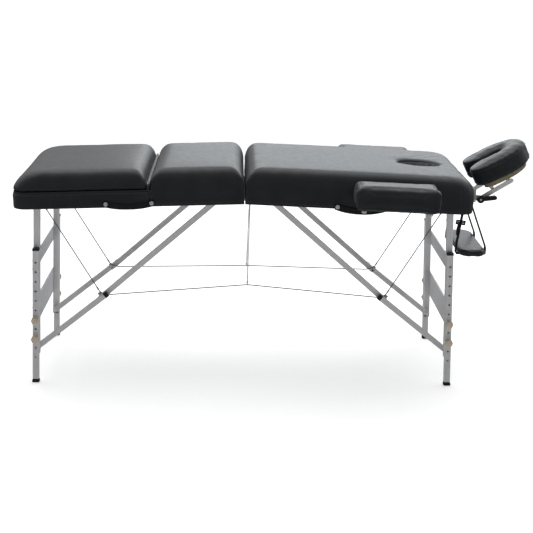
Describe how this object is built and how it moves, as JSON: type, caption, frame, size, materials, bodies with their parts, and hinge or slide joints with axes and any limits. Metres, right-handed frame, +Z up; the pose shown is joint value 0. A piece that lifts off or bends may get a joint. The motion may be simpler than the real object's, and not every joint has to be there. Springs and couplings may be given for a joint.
{
  "type": "portable massage table",
  "caption": "Folding massage table in two padded halves on telescopic braced legs, with lifting backrest, armrests, face opening, tilting U headrest and hanging arm shelf.",
  "frame": {"origin": "on the floor, under the middle of the whole object with its headrest, midway between the long sides", "axes": "+X along the table towards the headrest, +Y across the table to the far long side, +Z up"},
  "size_m": [2.1548, 0.996, 1.004],
  "materials": {
    "vinyl": "black leatherette with a fine pebble grain",
    "board": "plain plywood and rails",
    "alloy": "satin extruded aluminium",
    "rubber": "matt black",
    "knob": "beige moulded plastic",
    "strap": "black woven webbing",
    "steel": "steel wire and plate",
    "cord": "pale braided cord",
    "lever": "black moulded cam lever"
  },
  "bodies": {
    "right_half": {"frame_right": "board", "deck_right": "board", "cushion_right": "vinyl", "hinge_leaf_right": "steel", "carry_handle_right": "strap", "cable_near": "steel", "cable_far": "steel", "centre_cord": "cord"},
    "left_half": {"frame_left": "board", "deck_left": "board", "cushion_middle": "vinyl", "frame_wrap_left": "vinyl", "hinge_leaf_left": "steel", "carry_handle_left": "strap"},
    "backrest": {"back_board": "board", "cushion_backrest": "vinyl"},
    "leg_axle_left": {"leg_axle_left": "alloy"},
    "leg_left": {"leg_frame_left": "alloy"},
    "extension_left_near": {"leg_extension_left_near": "alloy", "foot_left_near": "rubber"},
    "knob_left_near_1": {"leg_knob_left_near_1": "knob"},
    "knob_left_near_2": {"leg_knob_left_near_2": "knob"},
    "lower_strut_left_near": {"lower_strut_left_near": "alloy"},
    "upper_strut_left_near": {"upper_strut_left_near": "alloy"},
    "extension_left_far": {"leg_extension_left_far": "alloy", "foot_left_far": "rubber"},
    "knob_left_far_1": {"leg_knob_left_far_1": "knob"},
    "knob_left_far_2": {"leg_knob_left_far_2": "knob"},
    "lower_strut_left_far": {"lower_strut_left_far": "alloy"},
    "upper_strut_left_far": {"upper_strut_left_far": "alloy"},
    "leg_axle_right": {"leg_axle_right": "alloy"},
    "leg_right": {"leg_frame_right": "alloy"},
    "extension_right_near": {"leg_extension_right_near": "alloy", "foot_right_near": "rubber"},
    "knob_right_near_1": {"leg_knob_right_near_1": "knob"},
    "knob_right_near_2": {"leg_knob_right_near_2": "knob"},
    "lower_strut_right_near": {"lower_strut_right_near": "alloy"},
    "upper_strut_right_near": {"upper_strut_right_near": "alloy"},
    "extension_right_far": {"leg_extension_right_far": "alloy", "foot_right_far": "rubber"},
    "knob_right_far_1": {"leg_knob_right_far_1": "knob"},
    "knob_right_far_2": {"leg_knob_right_far_2": "knob"},
    "lower_strut_right_far": {"lower_strut_right_far": "alloy"},
    "upper_strut_right_far": {"upper_strut_right_far": "alloy"},
    "armrest_near": {"armrest_near": "vinyl", "armrest_bracket_near": "alloy"},
    "armrest_knob_near_1": {"armrest_knob_near_1": "knob"},
    "armrest_knob_near_2": {"armrest_knob_near_2": "knob"},
    "armrest_far": {"armrest_far": "vinyl", "armrest_bracket_far": "alloy"},
    "armrest_knob_far_1": {"armrest_knob_far_1": "knob"},
    "armrest_knob_far_2": {"armrest_knob_far_2": "knob"},
    "headrest_mount": {"headrest_base": "alloy"},
    "headrest": {"headrest_bracket": "alloy", "headrest_platform": "board", "headrest_cushion": "vinyl"},
    "cam_lever": {"headrest_cam_lever": "lever"},
    "arm_shelf": {"arm_shelf": "vinyl", "shelf_strap_near": "strap", "shelf_strap_far": "strap"}
  },
  "joints": [
    {"name": "centre_fold", "type": "hinge", "parent": "right_half", "child": "left_half", "pos_m": [-0.1412, 0, 0.774], "axis": [0, -1, 0], "range_deg": [0, 88], "deforming": ["cable_near", "cable_far", "centre_cord"]},
    {"name": "backrest_tilt", "type": "hinge", "parent": "left_half", "child": "backrest", "pos_m": [-0.5298, 0, 0.86996], "axis": [0, 1, 0], "range_deg": [0, 70]},
    {"name": "leg_tuck_left", "type": "hinge", "parent": "leg_axle_left", "child": "leg_left", "pos_m": [-0.97956, 0, 0.77257], "axis": [0, -1, 0], "range_deg": [0, 31]},
    {"name": "leg_fold_left", "type": "hinge", "parent": "left_half", "child": "leg_axle_left", "pos_m": [-0.97956, 0, 0.77257], "axis": [0, -1, 0], "range_deg": [0, 57]},
    {"name": "extension_slide_left_near", "type": "slide", "parent": "leg_left", "child": "extension_left_near", "axis": [0.0332, 0, 0.9994], "range_m": [-0.2448, 0.0816], "stiffness_N_per_m": 100000},
    {"name": "knob_turn_left_near_1", "type": "hinge", "parent": "leg_left", "child": "knob_left_near_1", "pos_m": [-0.99607, -0.312, 0.27504], "axis": [0, -1, 0], "range_deg": [0, 180]},
    {"name": "knob_turn_left_near_2", "type": "hinge", "parent": "leg_left", "child": "knob_left_near_2", "pos_m": [-0.99878, -0.312, 0.19349], "axis": [0, -1, 0], "range_deg": [0, 180]},
    {"name": "lower_strut_left_near", "type": "hinge", "parent": "leg_left", "child": "lower_strut_left_near", "pos_m": [-1.00062, -0.253, 0.13792], "axis": [0, -1, 0], "range_deg": [0, 47.4]},
    {"name": "upper_strut_left_near", "type": "hinge", "parent": "left_half", "child": "upper_strut_left_near", "pos_m": [-0.23658, -0.233, 0.78654], "axis": [0, 1, 0], "range_deg": [0, 42]},
    {"name": "extension_slide_left_far", "type": "slide", "parent": "leg_left", "child": "extension_left_far", "axis": [0.0332, 0, 0.9994], "range_m": [-0.2448, 0.0816], "stiffness_N_per_m": 100000},
    {"name": "knob_turn_left_far_1", "type": "hinge", "parent": "leg_left", "child": "knob_left_far_1", "pos_m": [-0.99607, 0.312, 0.27504], "axis": [0, 1, 0], "range_deg": [0, 180]},
    {"name": "knob_turn_left_far_2", "type": "hinge", "parent": "leg_left", "child": "knob_left_far_2", "pos_m": [-0.99878, 0.312, 0.19349], "axis": [0, 1, 0], "range_deg": [0, 180]},
    {"name": "lower_strut_left_far", "type": "hinge", "parent": "leg_left", "child": "lower_strut_left_far", "pos_m": [-1.00062, 0.253, 0.13792], "axis": [0, -1, 0], "range_deg": [0, 47.4]},
    {"name": "upper_strut_left_far", "type": "hinge", "parent": "left_half", "child": "upper_strut_left_far", "pos_m": [-0.23658, 0.233, 0.78654], "axis": [0, 1, 0], "range_deg": [0, 42]},
    {"name": "leg_tuck_right", "type": "hinge", "parent": "leg_axle_right", "child": "leg_right", "pos_m": [0.69715, 0, 0.77257], "axis": [0, 1, 0], "range_deg": [0, 31]},
    {"name": "leg_fold_right", "type": "hinge", "parent": "right_half", "child": "leg_axle_right", "pos_m": [0.69715, 0, 0.77257], "axis": [0, 1, 0], "range_deg": [0, 57]},
    {"name": "extension_slide_right_near", "type": "slide", "parent": "leg_right", "child": "extension_right_near", "axis": [-0.0332, 0, 0.9994], "range_m": [-0.2448, 0.0816], "stiffness_N_per_m": 100000},
    {"name": "knob_turn_right_near_1", "type": "hinge", "parent": "leg_right", "child": "knob_right_near_1", "pos_m": [0.71367, -0.312, 0.27504], "axis": [0, -1, 0], "range_deg": [0, 180]},
    {"name": "knob_turn_right_near_2", "type": "hinge", "parent": "leg_right", "child": "knob_right_near_2", "pos_m": [0.71637, -0.312, 0.19349], "axis": [0, -1, 0], "range_deg": [0, 180]},
    {"name": "lower_strut_right_near", "type": "hinge", "parent": "leg_right", "child": "lower_strut_right_near", "pos_m": [0.71822, -0.253, 0.13792], "axis": [0, 1, 0], "range_deg": [0, 47.4]},
    {"name": "upper_strut_right_near", "type": "hinge", "parent": "right_half", "child": "upper_strut_right_near", "pos_m": [-0.04583, -0.233, 0.78654], "axis": [0, -1, 0], "range_deg": [0, 42]},
    {"name": "extension_slide_right_far", "type": "slide", "parent": "leg_right", "child": "extension_right_far", "axis": [-0.0332, 0, 0.9994], "range_m": [-0.2448, 0.0816], "stiffness_N_per_m": 100000},
    {"name": "knob_turn_right_far_1", "type": "hinge", "parent": "leg_right", "child": "knob_right_far_1", "pos_m": [0.71367, 0.312, 0.27504], "axis": [0, 1, 0], "range_deg": [0, 180]},
    {"name": "knob_turn_right_far_2", "type": "hinge", "parent": "leg_right", "child": "knob_right_far_2", "pos_m": [0.71637, 0.312, 0.19349], "axis": [0, 1, 0], "range_deg": [0, 180]},
    {"name": "lower_strut_right_far", "type": "hinge", "parent": "leg_right", "child": "lower_strut_right_far", "pos_m": [0.71822, 0.253, 0.13792], "axis": [0, 1, 0], "range_deg": [0, 47.4]},
    {"name": "upper_strut_right_far", "type": "hinge", "parent": "right_half", "child": "upper_strut_right_far", "pos_m": [-0.04583, 0.233, 0.78654], "axis": [0, -1, 0], "range_deg": [0, 42]},
    {"name": "armrest_slide_near", "type": "slide", "parent": "right_half", "child": "armrest_near", "axis": [0, -1, 0], "range_m": [0, 0.06]},
    {"name": "armrest_knob_turn_near_1", "type": "hinge", "parent": "armrest_near", "child": "armrest_knob_near_1", "pos_m": [0.32622, -0.45, 0.78104], "axis": [0.0363, 0, 0.9993], "range_deg": [0, 180]},
    {"name": "armrest_knob_turn_near_2", "type": "hinge", "parent": "armrest_near", "child": "armrest_knob_near_2", "pos_m": [0.59004, -0.45, 0.77146], "axis": [0.0363, 0, 0.9993], "range_deg": [0, 180]},
    {"name": "armrest_slide_far", "type": "slide", "parent": "right_half", "child": "armrest_far", "axis": [0, 1, 0], "range_m": [0, 0.06]},
    {"name": "armrest_knob_turn_far_1", "type": "hinge", "parent": "armrest_far", "child": "armrest_knob_far_1", "pos_m": [0.32622, 0.45, 0.78104], "axis": [0.0363, 0, 0.9993], "range_deg": [0, 180]},
    {"name": "armrest_knob_turn_far_2", "type": "hinge", "parent": "armrest_far", "child": "armrest_knob_far_2", "pos_m": [0.59004, 0.45, 0.77146], "axis": [0.0363, 0, 0.9993], "range_deg": [0, 180]},
    {"name": "headrest_slide", "type": "slide", "parent": "right_half", "child": "headrest_mount", "axis": [0.9993, 0, -0.0363], "range_m": [0, 0.05]},
    {"name": "headrest_tilt", "type": "hinge", "parent": "headrest_mount", "child": "headrest", "pos_m": [0.8558, 0, 0.76], "axis": [0, -1, 0], "range_deg": [-40, 6]},
    {"name": "cam_lever_turn", "type": "hinge", "parent": "headrest", "child": "cam_lever", "pos_m": [0.8558, -0.1, 0.76], "axis": [0, 1, 0], "range_deg": [0, 70]},
    {"name": "arm_shelf_swing", "type": "hinge", "parent": "right_half", "child": "arm_shelf", "pos_m": [0.79592, 0, 0.792], "axis": [0, -1, 0], "range_deg": [-3, 15]}
  ],
  "couplings": [
    {"joint": "lower_strut_left_near", "follows": "leg_fold_left", "ratio": 0.83158},
    {"joint": "upper_strut_left_near", "follows": "leg_fold_left", "ratio": 0.73684},
    {"joint": "lower_strut_left_far", "follows": "leg_fold_left", "ratio": 0.83158},
    {"joint": "upper_strut_left_far", "follows": "leg_fold_left", "ratio": 0.73684},
    {"joint": "lower_strut_right_near", "follows": "leg_fold_right", "ratio": 0.83158},
    {"joint": "upper_strut_right_near", "follows": "leg_fold_right", "ratio": 0.73684},
    {"joint": "lower_strut_right_far", "follows": "leg_fold_right", "ratio": 0.83158},
    {"joint": "upper_strut_right_far", "follows": "leg_fold_right", "ratio": 0.73684}
  ]
}
